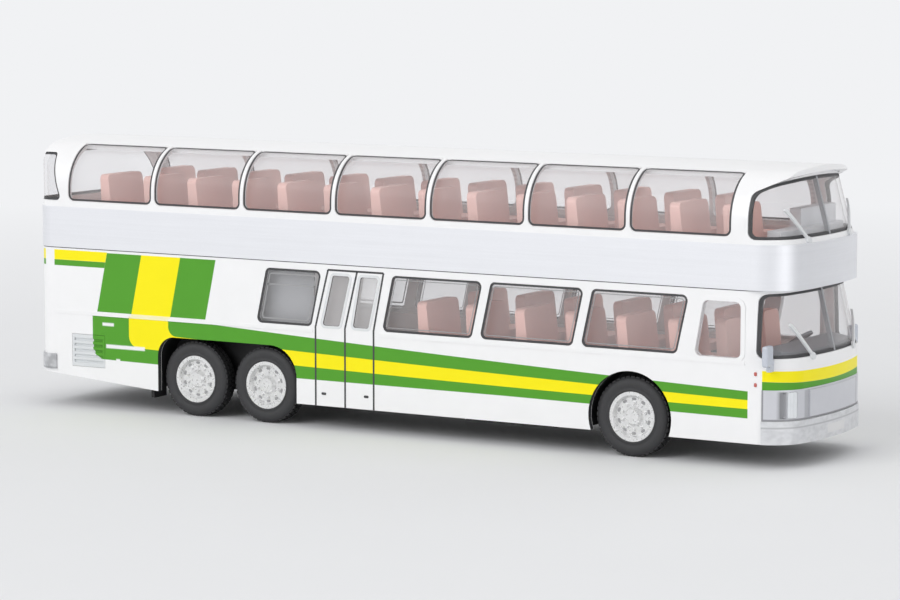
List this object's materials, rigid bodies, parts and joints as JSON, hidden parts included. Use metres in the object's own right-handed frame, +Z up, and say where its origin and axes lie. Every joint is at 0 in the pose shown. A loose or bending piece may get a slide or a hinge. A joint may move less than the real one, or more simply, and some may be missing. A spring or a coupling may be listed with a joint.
{
  "type": "1:87 scale model of a double-deck touring coach bus",
  "caption": "Scale model double-deck touring coach with a domed glazed upper deck, a silver belt, a hollow fitted-out body and wheel sets that roll on steel axles.",
  "frame": {"origin": "on the floor under the middle of the model's length and width", "axes": "+X to the front, +Y to the left side, +Z up"},
  "size_m": [0.1386, 0.0324, 0.044],
  "materials": {
    "white_moulding": "gloss white styrene with printed stripes",
    "silver_belt": "silver paint on styrene",
    "silver_trim": "bright silver paint on styrene",
    "mirror_plastic": "silver-grey plastic",
    "clear_glazing": "clear polished styrene",
    "dark_trim": "dark grey moulding",
    "grille_grey": "light grey louvres",
    "seat_plastic": "salmon-brown moulding",
    "inner_grey": "mid grey moulding",
    "chassis_black": "black moulding",
    "lamp_clear": "clear lens",
    "lamp_red": "red lens",
    "hub_silver": "silver paint on styrene",
    "tyre_black": "black tyre",
    "axle_steel": "plain steel wire"
  },
  "bodies": {
    "coach_body": {"lower_shell": "white_moulding", "roof_shell": "white_moulding", "belt_band": "silver_belt", "front_mask": "silver_trim", "front_bumper": "silver_trim", "rear_bumper": "silver_trim", "upper_wipers": "silver_trim", "lower_wipers": "silver_trim", "mirror_right": "mirror_plastic", "mirror_left": "mirror_plastic", "dome_glazing_right": "clear_glazing", "dome_glazing_left": "clear_glazing", "upper_windscreen": "clear_glazing", "upper_rear_window": "clear_glazing", "lower_glazing_right": "clear_glazing", "lower_glazing_left": "clear_glazing", "lower_windscreen": "clear_glazing", "windscreen_dividers": "dark_trim", "steering_wheel": "dark_trim", "engine_grilles": "grille_grey", "upper_deck_interior": "seat_plastic", "lower_deck_interior": "seat_plastic", "cab_seats": "seat_plastic", "stair_block": "inner_grey", "dashboard": "inner_grey", "upper_console": "inner_grey", "chassis": "chassis_black", "headlamps": "lamp_clear", "tail_lamps": "lamp_red"},
    "front_axle": {"front_axle_shaft": "axle_steel", "front_hubs": "hub_silver", "front_tyres": "tyre_black"},
    "drive_axle": {"drive_axle_shaft": "axle_steel", "drive_hubs": "hub_silver", "drive_tyres": "tyre_black"},
    "tag_axle": {"tag_axle_shaft": "axle_steel", "tag_hubs": "hub_silver", "tag_tyres": "tyre_black"}
  },
  "joints": [
    {"name": "front_axle_roll", "type": "hinge", "parent": "coach_body", "child": "front_axle", "pos_m": [0.042, 0, 0.00608], "axis": [0, 1, 0], "continuous": true},
    {"name": "drive_axle_roll", "type": "hinge", "parent": "coach_body", "child": "drive_axle", "pos_m": [-0.0239, 0, 0.00608], "axis": [0, 1, 0], "continuous": true},
    {"name": "tag_axle_roll", "type": "hinge", "parent": "coach_body", "child": "tag_axle", "pos_m": [-0.0376, 0, 0.00608], "axis": [0, 1, 0], "continuous": true}
  ]
}
